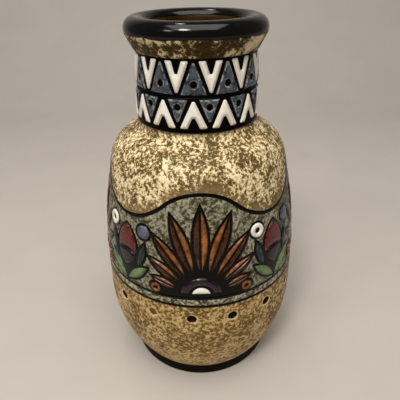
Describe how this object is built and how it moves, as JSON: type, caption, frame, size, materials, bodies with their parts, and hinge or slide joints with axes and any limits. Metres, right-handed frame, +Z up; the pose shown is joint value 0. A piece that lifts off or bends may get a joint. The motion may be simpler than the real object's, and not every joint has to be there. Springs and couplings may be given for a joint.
{
  "type": "vase",
  "caption": "Baluster pottery vase with a rolled black rim, chevron-banded neck, mottled glaze, a row of pits and a raised enamel frieze of fans and buds; stands on a foot ring.",
  "frame": {"origin": "centre of the bare standing ring, on the table", "axes": "+Z up the axis of the vase; the side seen in the picture faces -Y"},
  "size_m": [0.1284, 0.1284, 0.2299],
  "materials": {
    "clay": "matte",
    "lining_glaze": "gloss",
    "black_glaze": "gloss",
    "flare_glaze": "gloss",
    "shoulder_glaze": "satin",
    "base_glaze": "satin",
    "pit_glaze": "gloss",
    "black_ground": "satin",
    "white_enamel": "satin",
    "slate_enamel": "gloss",
    "black_line": "satin",
    "frieze_glaze": "satin",
    "ochre_enamel": "gloss",
    "rust_enamel": "gloss",
    "purple_enamel": "gloss",
    "red_enamel": "gloss",
    "pale_green_enamel": "satin",
    "teal_enamel": "gloss",
    "border_glaze": "satin"
  },
  "bodies": {
    "root": {"clay_body": "clay", "lining_glaze": "lining_glaze", "rim_glaze": "black_glaze", "flare_glaze": "flare_glaze", "shoulder_glaze": "shoulder_glaze", "base_glaze": "base_glaze", "pit_glaze": "pit_glaze", "foot_glaze": "black_glaze", "neck_ground": "black_ground", "upper_chevrons": "white_enamel", "upper_triangles": "slate_enamel", "lower_chevrons": "white_enamel", "lower_triangles": "slate_enamel", "wave_line": "black_line", "frieze_ground": "frieze_glaze", "motif_grounds": "black_line", "fan_leaves_ochre": "ochre_enamel", "fan_leaves_rust": "rust_enamel", "fan_cups": "purple_enamel", "fan_eyes": "white_enamel", "bud_petals": "red_enamel", "bud_calyxes": "purple_enamel", "low_leaves": "pale_green_enamel", "side_leaves": "teal_enamel", "white_rings": "white_enamel", "slate_discs": "slate_enamel", "ochre_rings": "ochre_enamel", "border_lines": "black_line", "border_strip": "border_glaze"}
  },
  "joints": []
}
